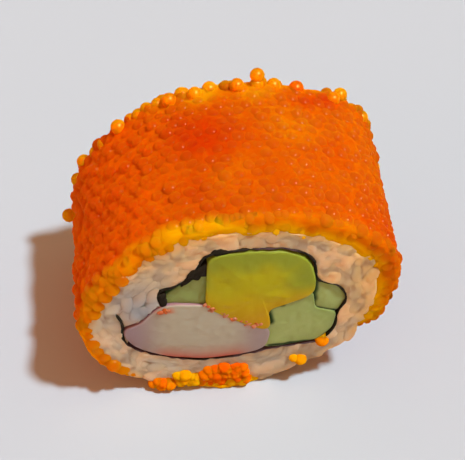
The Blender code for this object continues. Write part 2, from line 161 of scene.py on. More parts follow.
def lumps(points, size, lumpSeed):
    # random values from -1 to 1 at the corners of cells `size` wide, blended across each cell by 3t^2 - 2t^3
    p = np.asarray(points, float) / size + 1000.5
    cell = np.floor(p).astype(np.int64)
    t = p - cell
    t = t * t * (3 - 2 * t)
    total = np.zeros(p.shape[:-1])
    for corner in np.ndindex(*(2,) * p.shape[-1]):
        c = cell + np.array(corner)
        h = np.full(p.shape[:-1], lumpSeed * 2654435761 % 2**31, dtype=np.int64)
        for k, prime in enumerate((73856093, 19349663, 83492791)[: p.shape[-1]]):
            h = (h ^ (c[..., k] * prime)) & 0x7FFFFFFF
            h = (h * 48271) % 2147483647
        total += (h % 65536 / 32767.5 - 1) * np.prod(np.where(np.array(corner) == 1, t, 1 - t), axis=-1)
    return total


def spaced(flat, y):
    # points in space from their places in the section, as (x, z), and along the roll
    return np.stack([flat[..., 0], np.broadcast_to(y, flat.shape[:-1]), flat[..., 1]], axis=-1)


# Meshes.

noriPath = splineThrough(section["nori"], noriSamples, False)


def homeOfSection():
    # from the section's own origin to the frame's: the offset between the middles of the nori and of its box
    low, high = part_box("nori")
    middle = (noriPath[:, 0].min() + noriPath[:, 0].max()) / 2
    return np.array([(low.x + high.x) / 2 / mm - middle, (low.y + high.y) / 2 / mm, 0.0])


home = homeOfSection()


def addLayer(mesh, name, kind, field, values):
    layer = mesh.attributes.new(name, kind, "POINT")
    layer.data.foreach_set(field, np.asarray(values, np.float32).ravel())


def finishMesh(name, points, faces, tones, material, weld, facing=None):
    # tones is an array, or a function that works them out from the points
    points = points.reshape(-1, 3)
    mesh = bpy.data.meshes.new(name)
    mesh.from_pydata((points + home) * mm, [], faces)
    if facing is not None:
        addLayer(mesh, "facing", "FLOAT_VECTOR", "vector", facing)
    rgba = np.ones((len(mesh.vertices), 4))
    rgba[:, :3] = np.clip(tones(points) if callable(tones) else tones, 0, 1)
    addLayer(mesh, "tone", "FLOAT_COLOR", "color", rgba)
    if weld:
        work = bmesh.new()
        work.from_mesh(mesh)
        bmesh.ops.remove_doubles(work, verts=work.verts, dist=1e-6)
        bmesh.ops.dissolve_degenerate(work, edges=work.edges, dist=1e-7)
        bmesh.ops.recalc_face_normals(work, faces=work.faces)
        work.to_mesh(mesh)
        work.free()
    mesh.shade_smooth()
    mesh.materials.append(material)
    piece = bpy.data.objects.new(name, mesh)
    bpy.context.scene.collection.objects.link(piece)
    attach(piece, "root")
    return piece


def gridPiece(name, points, tones, material, closedRows=False):
    # a surface of rows by columns of points, closed along each row and welded where rows shrink to a pole
    rows, columns = points.shape[:2]
    r = np.arange(rows if closedRows else rows - 1)
    r, c = (a.ravel() for a in np.meshgrid(r, np.arange(columns), indexing="ij"))
    nextRow, nextColumn = (r + 1) % rows * columns, (c + 1) % columns
    r = r * columns
    faces = np.stack([r + c, r + nextColumn, nextRow + nextColumn, nextRow + c], axis=1)
    return finishMesh(name, points, faces, tones, material, True)


def copiesPiece(name, shape, places, turns, sizes, tones, material, plane=None, facing=None):
    # every copy is the one small shape, scaled, turned and put in its place, all worked out as one array;
    # facing is the direction in which the whole layer faces at each copy
    verts, faces = shape
    count = len(verts)
    points = np.einsum("nij,nvj->nvi", turns, verts[None] * sizes[:, None, :]) + places[:, None, :]
    if plane is not None:
        points = plane(points)
    points[..., 2] = np.maximum(points[..., 2], 0)
    faces = (faces[None] + (np.arange(len(places)) * count)[:, None, None]).reshape(-1, faces.shape[1])
    if facing is not None:
        facing = np.repeat(facing, count, axis=0)
    if not callable(tones):
        tones = np.repeat(tones, count, axis=0)
    finishMesh(name, points, faces, tones, material, False, facing)


def ballShape(cuts):
    # a cube's grid of points pushed out to a sphere: each point divided by its own length
    work = bmesh.new()
    bmesh.ops.create_cube(work, size=2)
    bmesh.ops.subdivide_edges(work, edges=work.edges, cuts=cuts, use_grid_fill=True)
    mesh = bpy.data.meshes.new("ball")
    work.to_mesh(mesh)
    work.free()
    verts = np.array([v.co for v in mesh.vertices])
    verts = np.tan(verts * math.pi / 4)  # evens out the spacing
    verts /= np.linalg.norm(verts, axis=1)[:, None]
    faces = np.array([list(p.vertices) for p in mesh.polygons])
    bpy.data.meshes.remove(mesh)
    return verts, faces


def grainShape(cuts):
    # a ball, blunter at one end and hollowed along one side: width x (1 + 0.12 x), z - 0.18 (1 - x^2)
    verts, faces = ballShape(cuts)
    x = verts[:, 0]
    verts[:, 1:] *= (1 + 0.12 * x)[:, None]
    verts[:, 2] -= 0.18 * (1 - x**2)
    return verts, faces


def randomTurns(rng, count):
    # rotation matrices from unit quaternions drawn evenly, row by row
    q = rng.normal(size=(count, 4))
    q /= np.linalg.norm(q, axis=1)[:, None]
    w, x, y, z = q.T
    rows = [
        1 - 2 * (y * y + z * z), 2 * (x * y - z * w), 2 * (x * z + y * w),
        2 * (x * y + z * w), 1 - 2 * (x * x + z * z), 2 * (y * z - x * w),
        2 * (x * z - y * w), 2 * (y * z + x * w), 1 - 2 * (x * x + y * y),
    ]
    return np.stack(rows, axis=1).reshape(-1, 3, 3)


# Materials.


def linear(hexColour):
    # sRGB hex to linear, with alpha 1
    parts = [int(hexColour[k : k + 2], 16) / 255 for k in (0, 2, 4)]
    return (*(c / 12.92 if c <= 0.04045 else ((c + 0.055) / 1.055) ** 2.4 for c in parts), 1.0)


def addNode(tree, kind, settings=None, links=None):
    # one node; settings name its properties or sockets, and links name what feeds each socket
    node = tree.nodes.new(kind)
    for key, value in (settings or {}).items():
        if hasattr(node, key):
            setattr(node, key, value)
        else:
            node.inputs[key].default_value = value
    for key, source in (links or {}).items():
        tree.links.new(source, node.inputs[key])
    return node


def newMaterial(name, settings):
    made = bpy.data.materials.new(name)
    made.use_nodes = True
    shader = made.node_tree.nodes["Principled BSDF"]
    for key, value in settings.items():
        shader.inputs[key].default_value = value
    return made, made.node_tree, shader


def socketOf(sockets, kind, name=None):
    # a mix node has a socket of each kind under the same name, and only the one of its own kind counts
    return next(s for s in sockets if s.type == kind and name in (None, s.name))


def mixed(tree, share, first, second):
    # colour from first to second by share; each is a hex colour or a socket
    node = addNode(tree, "ShaderNodeMix", {"data_type": "RGBA"}, {"Factor": share})
    for key, value in (("A", first), ("B", second)):
        socket = socketOf(node.inputs, "RGBA", key)
        if isinstance(value, str):
            socket.default_value = linear(value)
        else:
            tree.links.new(value, socket)
    return socketOf(node.outputs, "RGBA")


def tonesOf(tree):
    # the three tone channels of the mesh
    tone = addNode(tree, "ShaderNodeVertexColor", {"layer_name": "tone"})
    return addNode(tree, "ShaderNodeSeparateColor", links={"Color": tone.outputs["Color"]}).outputs


def noiseAt(tree, size, stretch=(1, 1, 1)):
    # noise whose lumps are `size` millimetres wide
    place = addNode(tree, "ShaderNodeTexCoord").outputs["Object"]
    turned = addNode(tree, "ShaderNodeMapping", {"Scale": stretch}, {"Vector": place}).outputs["Vector"]
    settings = {"Scale": 1 / (size * mm), "Detail": 2.0, "Roughness": 0.55}
    return addNode(tree, "ShaderNodeTexNoise", settings, {"Vector": turned}).outputs["Fac"]


def softened(tree, shader, share):
    # light that has wandered through neighbouring pieces evens out their shading, so the body's normal leans
    # by this share from the piece's own towards its whole layer's; the wet film keeps the piece's own
    layer = addNode(tree, "ShaderNodeAttribute", {"attribute_name": "facing"}).outputs["Vector"]
    own = addNode(tree, "ShaderNodeNewGeometry").outputs["Normal"]
    lean = addNode(tree, "ShaderNodeMix", {"data_type": "VECTOR", "Factor": share})
    tree.links.new(own, socketOf(lean.inputs, "VECTOR", "A"))
    tree.links.new(layer, socketOf(lean.inputs, "VECTOR", "B"))
    between = socketOf(lean.outputs, "VECTOR")
    unit = addNode(tree, "ShaderNodeVectorMath", {"operation": "NORMALIZE"}, {"Vector": between})
    tree.links.new(unit.outputs["Vector"], shader.inputs["Normal"])


def wetRoeSkin(name, roughness, clear, lean, film):
    # flying-fish roe: thin wet skin round clear orange oil, so the light goes in and comes out more saturated
    settings = {
        "Roughness": roughness, "IOR": 1.37, "Specular IOR Level": 0.0, "Specular Tint": linear("ffb870"),
        "Subsurface Weight": 0.9, "Subsurface Radius": (1.0, 0.9, 0.4), "Subsurface Scale": 0.3 * mm,
        # the faint emission is painted glow, set in the body colour below
        "Transmission Weight": clear, "Emission Strength": 0.05,
        "Coat Weight": film, "Coat Roughness": 0.16, "Coat IOR": 1.35,
    }
    made, tree, shader = newMaterial(name, settings)
    tone = tonesOf(tree)
    body = mixed(tree, tone["Green"], "d55c02", "cf3802")
    body = mixed(tree, tone["Red"], body, "f0a804")
    # the blue tone channel is painted light: a brighter orange where the beads would be lit through
    body = mixed(tree, tone["Blue"], body, "ee5e02")
    tree.links.new(body, shader.inputs["Base Color"])
    tree.links.new(body, shader.inputs["Emission Color"])  # painted glow: the body colour also glows faintly, standing in for light that has wandered through many beads
    if lean:
        softened(tree, shader, lean)
    return made


# roughness of the body, how clear it is, the lean of its normals, and the weight of its wet film
roeSkins = {
    "roeSkin": (0.7, 0.15, 0.8, 0.01),
    "wetRoeSkin": (0.7, 0.15, 0.8, 0.06),
    "looseRoeSkin": (0.32, 0.45, 0.2, 0.008),
    "spiltRoeSkin": (0.4, 0.0, 0.5, 0.01),
    "roeJelly": (0.5, 0.0, 0.0, 0.0),
}


def substance(name, facts, lean=0.0):
    # a solid substance: two mottled body colours, a colour for each tone channel, and a fine bump or, where
    # it is made of small pieces, the lean of their normals
    made, tree, shader = newMaterial(name, facts["sockets"])
    size, first, second, *stretch = facts["mottle"]
    body = mixed(tree, noiseAt(tree, size, *stretch), first, second)
    if facts["tones"]:
        tone = tonesOf(tree)
        for channel, colour in zip(("Red", "Green", "Blue"), facts["tones"]):
            body = mixed(tree, tone[channel], body, colour)
    tree.links.new(body, shader.inputs["Base Color"])
    if lean:
        softened(tree, shader, lean)
    elif "bump" in facts:
        size, depth, strength, *stretch = facts["bump"]
        settings = {"Strength": strength, "Distance": depth * mm}
        bump = addNode(tree, "ShaderNodeBump", settings, {"Height": noiseAt(tree, size, *stretch)})
        tree.links.new(bump.outputs["Normal"], shader.inputs["Normal"])
    return made


# In each, "mottle" is the size of the lumps and the two colours between which they vary, "tones" the colour
# of each tone channel in order, and "bump" the size, depth and strength of the unevenness. A last triple
# stretches the lumps along an axis where it is below 1.

# short-grain rice, steamed and seasoned: milky, slightly see-through; the orange next to the roe is a painted
# glow of light coming through the roe, and its darker parts painted shade
steamedRice = {
    "sockets": {
        "Roughness": 0.38, "IOR": 1.45, "Specular IOR Level": 0.12, "Subsurface Weight": 0.5,
        "Subsurface Radius": (1.0, 0.72, 0.5), "Subsurface Scale": 0.6 * mm,
    },
    "mottle": (3.5, "e6c8a4", "eacca6"),
    # the first tone is painted glow from the roe and the third painted shade
    "tones": ("ffc07a", "aeadad", "bb9a74"),
    "bump": (0.5, 0.05, 0.5),
}

# pressed and toasted laver, softened by the rice: near black, and purple where it is thin
toastedNori = {
    "sockets": {"Roughness": 0.75, "IOR": 1.5, "Specular IOR Level": 0.05},
    "mottle": (1.6, "1e1c12", "2e241c"),
    "tones": ("62464a",),
    "bump": (0.35, 0.12, 0.8),
}

# ripe avocado, cut with a knife: buttery, green under the skin and yellow towards the stone
avocadoFlesh = {
    "sockets": {
        "Roughness": 0.5, "IOR": 1.46, "Specular IOR Level": 0.06, "Subsurface Weight": 0.35,
        "Subsurface Radius": (1.0, 0.8, 0.25), "Subsurface Scale": 1.0 * mm,
    },
    "mottle": (2.5, "beb216", "b7b019"),
    "tones": ("919c31", "cca810", "cc9316"),
    "bump": (0.8, 0.06, 0.5, (1, 1, 0.25)),
}

# raw cucumber stick: watery pale flesh and a dark skin on the outer side; its darker greens at the edges and
# joints are partly painted shade
cucumberFlesh = {
    "sockets": {
        "Roughness": 0.3, "IOR": 1.35, "Specular IOR Level": 0.12, "Subsurface Weight": 0.45,
        "Subsurface Radius": (0.8, 1.0, 0.5), "Subsurface Scale": 1.2 * mm,
    },
    "mottle": (1.4, "a3b167", "adb971"),
    "tones": ("848f4b", "253c19"),
    "bump": (0.6, 0.05, 0.5),
}

# crab stick: steamed fish paste in thin sheets, white inside, its dyed outside pink and red
pressedSurimi = {
    "sockets": {
        "Roughness": 0.4, "IOR": 1.44, "Specular IOR Level": 0.12, "Subsurface Weight": 0.45,
        "Subsurface Radius": (1.0, 0.7, 0.55), "Subsurface Scale": 1.2 * mm,
    },
    "mottle": (1.2, "bab198", "b5aa93", (0.3, 1, 1)),
    "tones": ("997d85", "c14c37", "dd612a"),
    "bump": (0.45, 0.05, 0.5, (0.25, 1, 1)),
}

# smooth matt background paper
studioPaper = {
    "sockets": {"Roughness": 0.9, "Specular IOR Level": 0.0},
    "mottle": (60.0, "c6c6ca", "c8c8cc"),
    "tones": (),
}


# The coat of roe. A place round the roll is (angle, spread, depth); a patch is (angle, y, spread, strength).

coat = {
    "thickness": 2.0,
    "meanRadius": 17,
    "beadRadius": (0.95, 1.1),
    "pitch": 1.85,
    "wander": 0.3,  # of a bead from its place
    "heave": 0.1,  # of a bead in or out
    "missing": 0.02,  # share of the beads
    "dewyShare": 0.6,  # of the beads, with a wet film that catches the light
    "highShare": 0.2,  # of the beads, which stand higher
    "high": (0.1, 0.3),
    "jutShare": 0.3,  # of the beads on the left, which jut out
    "jut": 0.35,
    "swell": 0.22,  # of the whole coat in or out, over stretches of a few beads
    "raggedEdge": 0.35,  # of the coat's inner edge over the rice
    "redPatches": [  # where the roe is riper and redder
        (100, 1.9, 5.5, 0.85), (111, 5.3, 3.5, 0.4), (108, -7.3, 2.5, 0.45), (142, 4.1, 2.5, 0.5),
        (150, 2.9, 2.5, 0.5), (77, -8.7, 3.0, 0.3), (48, 0.9, 3.5, 0.25), (25, -9.5, 5.0, 0.45),
        (53, 9.5, 1.3, 0.8), (44, 10.3, 1.3, 0.9), (162, -3.0, 4.0, 0.3), (155, 5.0, 5.0, 0.4),
    ],
    "thinPatches": [  # where it lies thin and yellow
        (75, 10.9, 2.5, 0.5), (100, 12.0, 2.6, 0.9), (63, 3.9, 3.5, 0.2), (95, -5.1, 3.0, 0.12),
        (122, 12.0, 2.0, 0.5), (-162, -6.0, 6.0, 0.2),
    ],
    "yellowBand": 1.1,  # width of the thin yellow roe along the front cut
    "widerBand": [(135, 32, 2.3), (176, 16, 1.0), (-125, 40, 2.0)],
    "bareFront": [(-60, 14, 2.8), (-41, 13, 1.7), (-28, 10, 1.5), (-127, 9, 1.2), (-95, 12, -0.9)],
    "bareBack": [(-58, 15, 1.6), (-118, 12, 1.4), (150, 8, 0.7)],
    "pressedIn": [(25, 42, 1.4), (75, 20, 0.3), (-52, 26, 0.8)],  # over the cut edge of the rice
    "thinning": 0.9,  # of the coat over the top, towards the back
    "thinningAngles": (20, 55, 125, 150),
    "thinningY": (4.0, 13.0),
    "proud": [  # beads that stand proud: (angle, y, height of the middle above the bead tops)
        (74, 12.6, 0.2), (38, 12.6, -0.2), (41, 11.6, -0.6), (24, 12.3, -0.6), (171, 12.6, -0.2),
        (181, 12.6, -0.4), (187, 11.5, -0.5), (190, 9.0, 0.9), (83, 11.5, -0.5), (103, 11.5, -0.9),
        (116, 11.5, -0.6), (144, 11.5, -0.1), (156, 11.5, -0.5), (134, 12.2, -1.15), (129, 12.4, -1.05),
        (123, 12.3, -1.15), (110, 12.4, -1.2), (139, 12.3, -1.1), (163, 12.0, -0.7), (96, 12.4, -1.3),
        (66, 12.4, -1.2), (56, 12.4, -1.2), (8, 8.0, -0.4), (-64, -11.5, -0.6), (-43, -11.8, -0.8),
        (-34, -12.0, -1.1),
    ],
    "seatDrop": 1.15,  # of the bead that carries one of those
    "seatY": 12.2,  # furthest from the middle that such a bead lies
    "deepest": -1.3,  # height of any of these
    "spilt": [  # beads pushed over the lower edge of the front face, as (x, z)
        (-11.0, 1.3), (-9.4, 1.1), (-7.9, 1.2), (-6.3, 1.1), (-4.9, 1.1), (-3.5, 1.1), (-2.1, 1.1),
        (-0.7, 1.1), (0.8, 1.2), (-4.4, 2.4), (-2.8, 2.4), (-1.3, 2.5), (0.2, 2.5), (-2.1, 3.8), (-0.6, 3.8),
    ],
    "spiltY": -13.2,
    "rims": {  # small beads over the two cut edges: how many, and ranges of inset, in from the end and radius
        "front": (420, (0.6, 2.3), (1.0, 1.4), (0.6, 0.95)),
        "back": (300, (0.45, 1.6), (0.7, 1.6), (0.7, 1.0)),
    },
    "clumps": [  # small beads on the edge of the rice: (x, z, spread in x, in z, how many, how yellow)
        (8.0, 4.8, 0.5, 0.25, 3, 0.7), (11.0, 8.0, 0.4, 0.3, 3, 0.7), (-6.2, 1.9, 1.4, 0.6, 14, 0.75),
        (-1.6, 2.4, 1.7, 0.8, 50, 0.22), (-10.4, 1.6, 0.8, 0.4, 8, 0.45),
    ],
    "looseFacing": (0.35, -0.2, 0.9),  # the way that a heap of loose beads faces
}


def alongRoll(box):
    # where a node's box starts and ends along the roll
    return [corner.y / mm - home[1] for corner in box]


rollEnd = alongRoll(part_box("avocado"))[1] - 0.3
rollOutline = splineThrough(section["roll"], 1440, True)
rollNormals = outwardNormals(rollOutline)
rollAngles = angleRound(rollOutline, rollOutline)
rollGirth = np.linalg.norm(np.roll(rollOutline, -1, axis=0) - rollOutline, axis=1).sum()
rollCoarse = rollOutline[::6]


def depthAt(angles, places):
    # the sum over the places of depth x exp(-(angle off its middle / spread)^2)
    return sum(depth * bell(offAngle(angles, middle), 0, spread) for middle, spread, depth in places)


def pressedIn(angles, inset):
    # grows from nothing at the outside to its full depth at the coat's inner side
    return depthAt(angles, coat["pressedIn"]) * np.clip((inset - 1.0) / (coat["thickness"] - 1.0), 0, 1.3)


def thinned(angles, y):
    # rises and falls in straight lines over the four angles, and rises in one along the roll
    share = np.interp(angles, coat["thinningAngles"], [0, 1, 1, 0])
    return coat["thinning"] * share * np.interp(y, coat["thinningY"], [0, 1])


def frontShare(y):
    # 1 at the front end of the coat and 0 at the back one
    return 1 - (y + rollEnd) / (2 * rollEnd)


def coatProfile(depth, end, radius, inner, spacing):
    # the path from the inner front edge round the rim, along the side and back: inset, y, and the two parts
    # of the way that it faces, sideways and lengthways
    lip = inner - depth - radius
    arc = radius * math.pi / 2
    total = 2 * (lip + arc) + 2 * (end - radius)
    s = np.linspace(0, total, round(total / spacing) + 1)
    back = s > total / 2
    q = np.where(back, total - s, s)
    turn = np.clip((q - lip) / radius, 0, math.pi / 2)
    inset = np.where(q <= lip, inner - q, depth + radius * (1 - np.sin(turn)))
    y = np.where(q <= lip, -end, -end + radius * (1 - np.cos(turn)) + np.maximum(q - lip - arc, 0))
    return inset, np.where(back, -y, y), np.sin(turn), np.where(back, np.cos(turn), -np.cos(turn))


def onCoat(at, inset, y, sideways=0, lengthways=0, out=0):
    # a point `out` above the coat's path, at the outline's sample `at`, drawn back from both ends by the bays
    place = rollOutline[at] + rollNormals[at] * (out * sideways - inset)[..., None]
    front = depthAt(rollAngles[at], coat["bareFront"]) * frontShare(y)
    back = depthAt(rollAngles[at], coat["bareBack"]) * (1 - frontShare(y))
    return spaced(place, y + out * lengthways + front - back)


def patches(angles, y, places):
    # the sum over the places of strength x exp(-(distance / spread)^2), the distance taken along the coat
    total = 0
    for angle, at, spread, strength in places:
        aside = np.radians(offAngle(angles, angle)) * coat["meanRadius"]
        total = total + strength * np.exp(-(aside**2 + (y - at) ** 2) / spread**2)
    return total


def coatTones(points):
    # red channel: thin and yellow; green channel: ripe and red; blue channel: painted light, a brighter
    # orange on the left as if lit through from behind
    flat = points[:, [0, 2]]
    angles = angleRound(flat, rollOutline)
    around = np.abs(angles)
    y = points[:, 1] - depthAt(angles, coat["bareFront"]) * frontShare(points[:, 1])
    mottle = 0.22 * lumps(points, 5.0, 3) + 0.2 * lumps(points, 2.5, 4)
    onward = np.maximum(y + rollEnd - 0.9, 0)  # along the side, from the front rim
    upward = coat["thickness"] + depthAt(angles, coat["pressedIn"]) - distanceTo(flat, rollCoarse)
    walk = upward + onward + 0.7 * lumps(points, 2.4, 6)  # from the rice, over the rim and along the side
    width = coat["yellowBand"] + depthAt(angles, coat["widerBand"])
    thin = 0.95 * smoothStep(width + 1.0, width - 0.7, walk)
    thin = thin + 0.3 * smoothStep(1.2, 0.0, onward) * (0.5 + 0.5 * smoothStep(30, 80, around))
    thin = thin + 0.5 * smoothStep(rollEnd - 2.6, rollEnd - 0.2, y)
    thin = thin + patches(angles, y, coat["thinPatches"]) + 0.4 * mottle
    thick = 1 - np.clip(thin, 0, 1)
    deep = (0.2 + patches(angles, y, coat["redPatches"]) + mottle) * thick
    # painted light: a brighter orange over the left side, where light would come through the beads from
    # behind
    through = smoothStep(100, 150, around) * (0.55 + 0.45 * thick) + 0.2 * lumps(points, 1.6, 5)
    return np.stack([thin, deep, through], axis=1)


def roeBed(material):
    # the jelly between the beads: a closed ring, its outer side lumpy where beads of a second layer push up
    profile = coatProfile(0.3, rollEnd - 0.3, 0.9, coat["thickness"], 0.36)
    columns = np.arange(0, len(rollOutline), 4)
    at = np.broadcast_to(columns, (len(profile[0]), len(columns)))
    inset, y, sideways, lengthways = (np.broadcast_to(a[:, None], at.shape) for a in profile)
    deepest = np.maximum(inset, coat["thickness"] - 0.35)
    sunk = np.minimum(inset + thinned(rollAngles[at], y), deepest)
    points = onCoat(at, sunk, y)
    ragged = coat["raggedEdge"] * (lumps(points, 2.2, 13) + 0.7 * lumps(points, 0.9, 14) + 0.3)
    sunk = sunk + pressedIn(rollAngles[at], inset)
    sunk = sunk + ragged * np.clip((inset - 1.2) / (coat["thickness"] - 1.2), 0, 1)
    sunk = sunk - coat["swell"] * lumps(points, 5.0, 15) * sideways
    out = 0.2 * lumps(points, 1.5, 11) + 0.1 * lumps(points, 0.7, 12)
    out[[0, -1]] = 0
    points = onCoat(at, sunk, y, sideways, lengthways, out)
    points[..., 2] = np.maximum(points[..., 2], 0.15)
    piece = gridPiece("roeBed", points, coatTones, material, closedRows=True)
    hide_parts("roe_coat")


def beadPieces(groups, shape, places, turns, sizes, tones, facing):
    # one piece for each group, which is a name, which of the beads it takes, and their skin
    for name, chosen, skin in groups:
        copiesPiece(
            name, shape, places[chosen], turns[chosen], sizes[chosen],
            tones if callable(tones) else tones[chosen], skin, facing=facing[chosen],
        )


def roeBeads(dull, wet):
    # beads in staggered rows round the coat, each a little off its place
    rng = np.random.default_rng(seed + 1)
    rowGap = coat["pitch"] * math.sqrt(3) / 2
    inset, y, sideways, lengthways = coatProfile(1.0, rollEnd - 1.0, 0.5, coat["thickness"] - 0.25, rowGap)
    perRow = round(rollGirth / coat["pitch"])
    rows, column = (a.ravel() for a in np.meshgrid(np.arange(len(y)), np.arange(perRow), indexing="ij"))
    count = len(rows)
    sideways, lengthways = sideways[rows], lengthways[rows]
    shift = rng.uniform(-coat["wander"], coat["wander"], count) / rollGirth
    at = ((column + rows % 2 / 2) / perRow + shift) * len(rollOutline)
    at = np.round(at).astype(int) % len(rollOutline)
    angles = rollAngles[at]
    along = y[rows] + rng.uniform(-coat["wander"], coat["wander"], count) * sideways
    sunk = inset[rows] + thinned(angles, along)
    out = rng.uniform(-coat["heave"], coat["heave"], count)
    out += np.where(rng.uniform(size=count) < coat["highShare"], rng.uniform(*coat["high"], count), 0.0)
    jut = np.where(rng.uniform(size=count) < coat["jutShare"], coat["jut"], 0.0)
    out += jut * smoothStep(110, 150, np.abs(angles))
    out += coat["swell"] * lumps(onCoat(at, sunk, along), 5.0, 15)
    out -= 0.15 * bell(angles, 75, 60) * smoothStep(-rollEnd + 2.4, -rollEnd + 0.6, along)
    places = onCoat(at, sunk, along, sideways, lengthways, out)
    radius = rng.uniform(*coat["beadRadius"], count)
    places[:, 2] = np.maximum(places[:, 2], radius * 0.97)
    keep = rng.uniform(size=count) > coat["missing"]
    sizes = radius[:, None] * rng.uniform(0.94, 1.06, (count, 3))
    facing = spaced(rollNormals[at] * sideways[:, None], lengthways)
    turns = randomTurns(rng, count)
    dewy = rng.uniform(size=count) < coat["dewyShare"]
    groups = (("roeBeads", keep & ~dewy, dull), ("dewyBeads", keep & dewy, wet))
    beadPieces(groups, ballShape(2), places, turns, sizes, coatTones, facing)
    return keep.sum()


def rimBeads(material):
    # beads at random round each cut edge, a range of depths in from the side and from the end
    rng = np.random.default_rng(seed + 4)
    parts = []
    for side, (count, *limits) in zip((-1, 1), coat["rims"].values()):
        inset, inward, radius = (rng.uniform(*limit, count) for limit in limits)
        at = rng.integers(0, len(rollOutline), count)
        y = side * (rollEnd - inward)
        inset = inset + thinned(rollAngles[at], y) * 0.8
        inset = inset + pressedIn(rollAngles[at], inset) * rng.uniform(0.6, 1.1, count)
        places = onCoat(at, inset, y)
        places[:, 2] = np.maximum(places[:, 2], radius)
        parts.append((places, radius, spaced(rollNormals[at], side) * math.sqrt(0.5)))
    places, radius, outward = (np.concatenate(part) for part in zip(*parts))
    sizes = radius[:, None] * rng.uniform(0.9, 1.1, (len(radius), 3))
    turns = randomTurns(rng, len(radius))
    copiesPiece("rimBeads", ballShape(2), places, turns, sizes, coatTones, material, facing=outward)


def looseBeads(clear, plain):
    # single beads that sit on the others, each high one on a second bead, and those spilt over the front edge
    rng = np.random.default_rng(seed + 2)
    angle, y, height = np.array(coat["proud"]).T
    high = height > -0.1 - thinned(angle % 360, y)
    angle = np.concatenate([angle, angle[high]])
    height = np.concatenate([height, height[high] - coat["seatDrop"]])
    y = np.concatenate([y, np.clip(y[high], -coat["seatY"], coat["seatY"])])
    at = np.abs(offAngle(rollAngles[None], angle[:, None])).argmin(axis=1)
    places = rollOutline[at] + rollNormals[at] * np.maximum(height, coat["deepest"])[:, None]
    spilt = np.array(coat["spilt"]) + rng.uniform(-0.3, 0.3, (len(coat["spilt"]), 2))
    clumps = [
        np.array([x, z]) + np.clip(rng.normal(size=(count, 2)), -1.4, 1.4) * spreads
        for x, z, *spreads, count, _ in coat["clumps"]
    ]
    clumpThin = np.concatenate([np.full(count, thin) for *_, count, thin in coat["clumps"]])
    places = np.vstack([places, spilt, *clumps])
    spiltY = coat["spiltY"] + rng.uniform(-0.25, 0.25, len(spilt))
    clumpY = coat["spiltY"] + rng.uniform(-0.35, 0.25, len(clumpThin))
    y = np.concatenate([y, spiltY, clumpY])
    large = rng.uniform(0.92, 1.06, len(angle) + len(spilt))
    radius = np.concatenate([large, rng.uniform(0.6, 1.0, len(clumpThin))])
    places[:, 1] = np.maximum(places[:, 1], radius)
    spiltThin = smoothStep(-3, -6, spilt[:, 0]) * 0.7
    thin = np.concatenate([rng.uniform(0.75, 1.0, len(angle)), spiltThin, clumpThin])
    thin = np.clip(thin + rng.normal(0, 0.1, len(y)), 0, 1)
    deep = rng.uniform(0, 0.4, len(y)) * (1 - thin)
    # blue channel: painted light, a brighter orange in the beads that are not yellow, as if lit through
    tones = np.stack([thin, deep, 0.9 * (1 - thin) * (thin < 0.6)], axis=1)
    sizes = np.repeat(radius[:, None], 3, axis=1)
    facing = np.tile(coat["looseFacing"], (len(y), 1))
    turns = randomTurns(rng, len(y))
    stuck = np.arange(len(y)) < len(angle)
    clumpBeds(plain)
    groups = (("looseBeads", stuck, clear), ("spiltBeads", ~stuck, plain))
    beadPieces(groups, ballShape(3), spaced(places, y), turns, sizes, tones, facing)


def clumpBeds(material):
    # the jelly that holds a clump: a ball flattened to the clump's spread, its surface lumpy
    x, z, wide, high, _, thin = np.array(coat["clumps"]).T
    middles = np.stack([x, np.full(len(x), coat["spiltY"] + 0.2), np.maximum(z, 1.0)], axis=1)
    halves = np.stack([wide * 1.6, np.full(len(x), 0.8), high * 1.5 + 0.2], axis=1)
    # blue channel: painted light, a brighter orange in the less yellow clumps, as if lit through
    tones = np.stack([thin, 0.2 * (1 - thin), 0.8 * (1 - thin)], axis=1)

    def lumpy(points):
        spread = points - middles[:, None]
        grown = middles[:, None] + spread * (1 + 0.2 * lumps(points, 1.1, 16))[..., None]
        grown[..., 2] = np.maximum(grown[..., 2], 0.1)
        return grown

    turns = np.tile(np.eye(3), (len(x), 1, 1))
    facing = np.tile(coat["looseFacing"], (len(x), 1))
    shape = ballShape(12)
    copiesPiece("clumpBeds", shape, middles, turns, halves, tones, material, lumpy, facing)


# The rice.

rice = {
    "recess": 0.05,  # of the core's cut faces behind the grains
    "lip": 1.6,  # furthest that rice pushes out where the coat is drawn back from the front
    "lipDepth": (0.3, 2.6),  # from the front, where the lip is full and where it ends
    "around": 560,  # points round the core
    "rounding": 0.7,  # of the core's face back at its outer edge
    "grainHalf": (2.7, 1.15, 1.0),
    "grains": 230,  # on each cut face
    "grainGap": 1.1,
    "clear": (0.55, 0.75, 0.6),  # least distances of a grain's middle from the roe, the fillings and the nori
    "pocket": (-12.5, 17.0),  # the hollow beside the free end of the nori
    "crown": 0.1,  # of what stands past the knife's plane, the share that is left
    "dip": 1.2,  # of a grain's end where it would lie over the filling
}

fillingRun = splineThrough(section["nori"][: -section["noriTail"]], 360, False)
fillingSpace = np.vstack([fillingRun, section["riceLobe"]])[::-1]
riceFront = alongRoll(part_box("nori"))[0]


def riceLip(angles):
    return np.clip(depthAt(angles, coat["bareFront"]), 0, rice["lip"])


